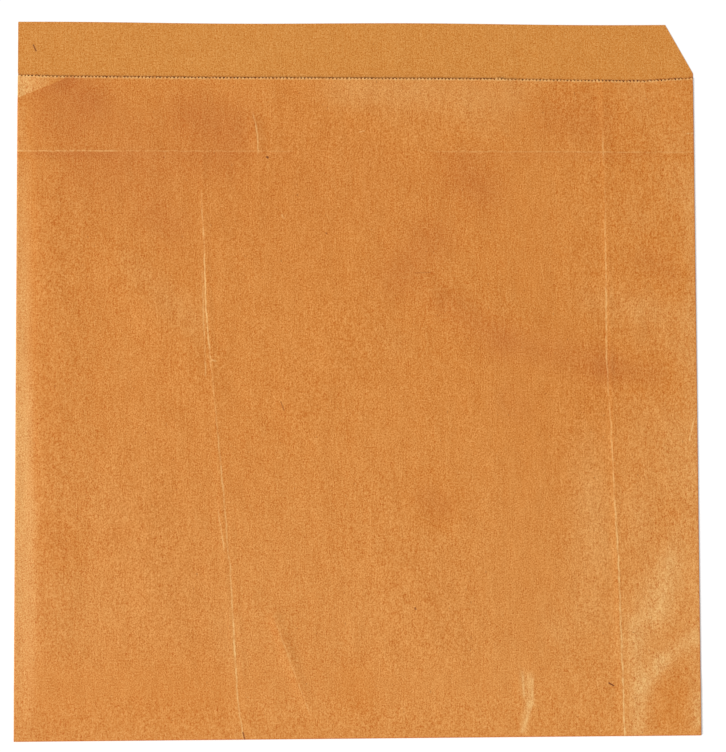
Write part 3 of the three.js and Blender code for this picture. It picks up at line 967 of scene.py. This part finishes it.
def kraft():
    """Brown kraft paper: the grain, then painted sheen and shade, then marks with a painted shadow and
    highlight at the mouth edge, then the darker right and bottom edges.
    """
    material = bpy.data.materials.new("kraft_paper")
    material.use_nodes = True
    tree = material.node_tree
    tree.nodes.clear()
    n = Nodes(tree)
    where = n.new("ShaderNodeTexCoord").outputs["Object"]
    x, y = n.split(where)
    flat = n.vector("MULTIPLY", where, (1, 1, 0))
    inner = attribute(n, "inner_face")
    outer = n.math("SUBTRACT", 1.0, inner)

    layers, share = paper_grain(n, where)
    colour = grain_colour(n, share, inner)
    colour = painted_light(n, colour, share, x, y, flat, outer)
    colour = marked(n, colour, where, x, flat, inner, outer)
    colour = edged(n, colour, x, y)

    shader = n.new("ShaderNodeBsdfPrincipled")
    n.wire(colour, shader.inputs["Base Color"])
    rough = n.math("MULTIPLY_ADD", layers["streak"], STREAK_ROUGHNESS, ROUGHNESS)
    n.wire(rough, shader.inputs["Roughness"])
    shader.inputs["IOR"].default_value = 1.42
    shader.inputs["Specular IOR Level"].default_value = 0.25
    shader.inputs["Sheen Weight"].default_value = 0.06
    shader.inputs["Sheen Roughness"].default_value = 0.5
    n.wire(bumped(n, layers), shader.inputs["Normal"])
    out = n.new("ShaderNodeOutputMaterial")
    tree.links.new(shader.outputs[0], out.inputs[0])
    return material


def paint(mesh):
    """Stores on the points of the bag their painted sheen or shade, and how far they are from the mouth
    edge.
    """
    points = np.empty(len(mesh.vertices) * 3)
    mesh.vertices.foreach_get("co", points)
    x, y = (points.reshape(-1, 3) / MM).T[:2]
    painted_sheen_and_shade = np.zeros(len(x))
    # Painted sheen and shade of the broad patches.
    for x0, y0, x1, y1, half, amount in PATCHES:
        far, _ = segment(x, y, x0, y0, x1, y1)
        painted_sheen_and_shade += amount * np.exp(-((far / half) ** 2))
    # The painted sheen band along the left fold, and the painted sheen over the lower half.
    end = BAND_END + BAND_WIDENS * ease(-y / 60) + BAND_WAVER * soft_noise(x * 0, y, 30, SEED + 2)
    painted_sheen_and_shade += along(LEFT_BAND, y) * ease((end - x) / BAND_FADE) + LOWER_PAINTED_SHEEN * ease((10 - y) / 110)
    mesh.attributes.new("painted_sheen_and_shade", "FLOAT", "POINT").data.foreach_set("value", painted_sheen_and_shade)
    mesh.attributes.new("to_mouth", "FLOAT", "POINT").data.foreach_set("value", mouth_y(x) - y)


bag = bpy.data.objects.new("paper_bag_look", make_bag())
paint(bag.data)
bpy.context.scene.collection.objects.link(bag)
bag.data.shade_smooth()
bag.data.set_sharp_from_angle(angle=math.radians(35))
bag.data.materials.append(kraft())
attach(bag, "root")
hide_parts("paper_bag")


def seen_rays(n):
    """1 for rays that look at a surface, directly or through gloss or glass, and 0 for light."""
    rays = n.new("ShaderNodeLightPath")
    seen = n.math("ADD", rays.outputs["Is Camera Ray"], rays.outputs["Is Glossy Ray"])
    return n.math("ADD", seen, rays.outputs["Is Transmission Ray"], clamp=True)


# The stage, in metres and watts: a white floor, one soft lamp far to the left, and a white sky that fills
# the shadows and is pure white where it is seen.
FLOOR_HALF = 3.0
FLOOR_DROP = 0.00005
FLOOR_WHITE = 0.86
FLOOR_GLOW = 0.2
KEY_AT = (-6.0, -2.48, 4.6)
KEY_SIZE = 2.8
KEY_POWER = 636
FILL = 0.42
# The camera looks nearly straight down. Its place and turn were fitted to the bag's four corners.
CAMERA_AT = (-0.00964, -0.01569, 0.46721)
CAMERA_TURN = (1.998, -1.376, -0.196)
CAMERA_LENS = 60
CAMERA_SENSOR = 36


def floor():
    low, high = -FLOOR_HALF, FLOOR_HALF
    mesh = bpy.data.meshes.new("floor")
    mesh.from_pydata([(low, low, 0), (high, low, 0), (high, high, 0), (low, high, 0)], [], [(0, 1, 2, 3)])
    plane = bpy.data.objects.new("floor", mesh)
    plane.location.z = -FLOOR_DROP
    bpy.context.scene.collection.objects.link(plane)
    material = bpy.data.materials.new("floor")
    material.use_nodes = True
    tree = material.node_tree
    tree.nodes.clear()
    n = Nodes(tree)
    diffuse = n.new("ShaderNodeBsdfDiffuse")
    diffuse.inputs["Color"].default_value = (FLOOR_WHITE, FLOOR_WHITE, FLOOR_WHITE, 1)
    glow = n.new("ShaderNodeEmission")
    n.wire(n.math("MULTIPLY", seen_rays(n), FLOOR_GLOW), glow.inputs["Strength"])
    both = n.new("ShaderNodeAddShader")
    tree.links.new(diffuse.outputs[0], both.inputs[0])
    tree.links.new(glow.outputs[0], both.inputs[1])
    out = n.new("ShaderNodeOutputMaterial")
    tree.links.new(both.outputs[0], out.inputs[0])
    mesh.materials.append(material)


def key_lamp():
    data = bpy.data.lights.new("key", "AREA")
    data.shape = "SQUARE"
    data.size = KEY_SIZE
    data.energy = KEY_POWER
    lamp = bpy.data.objects.new("key", data)
    lamp.location = KEY_AT
    toward = -lamp.location
    lamp.rotation_euler = toward.to_track_quat("-Z", "Y").to_euler()
    bpy.context.scene.collection.objects.link(lamp)


def sky():
    world = bpy.data.worlds.new("studio")
    world.use_nodes = True
    n = Nodes(world.node_tree)
    background = world.node_tree.nodes["Background"]
    background.inputs["Color"].default_value = (1, 1, 1, 1)
    n.wire(n.math("MULTIPLY_ADD", seen_rays(n), 1 - FILL, FILL), background.inputs["Strength"])
    bpy.context.scene.world = world


def camera():
    data = bpy.data.cameras.new("camera")
    data.lens = CAMERA_LENS
    data.sensor_width = CAMERA_SENSOR
    data.clip_end = 20
    holder = bpy.data.objects.new("camera", data)
    holder.location = CAMERA_AT
    holder.rotation_euler = Euler([math.radians(d) for d in CAMERA_TURN], "XYZ")
    bpy.context.scene.collection.objects.link(holder)
    bpy.context.scene.camera = holder


floor()
key_lamp()
sky()
camera()
bpy.context.scene.view_settings.view_transform = "Standard"
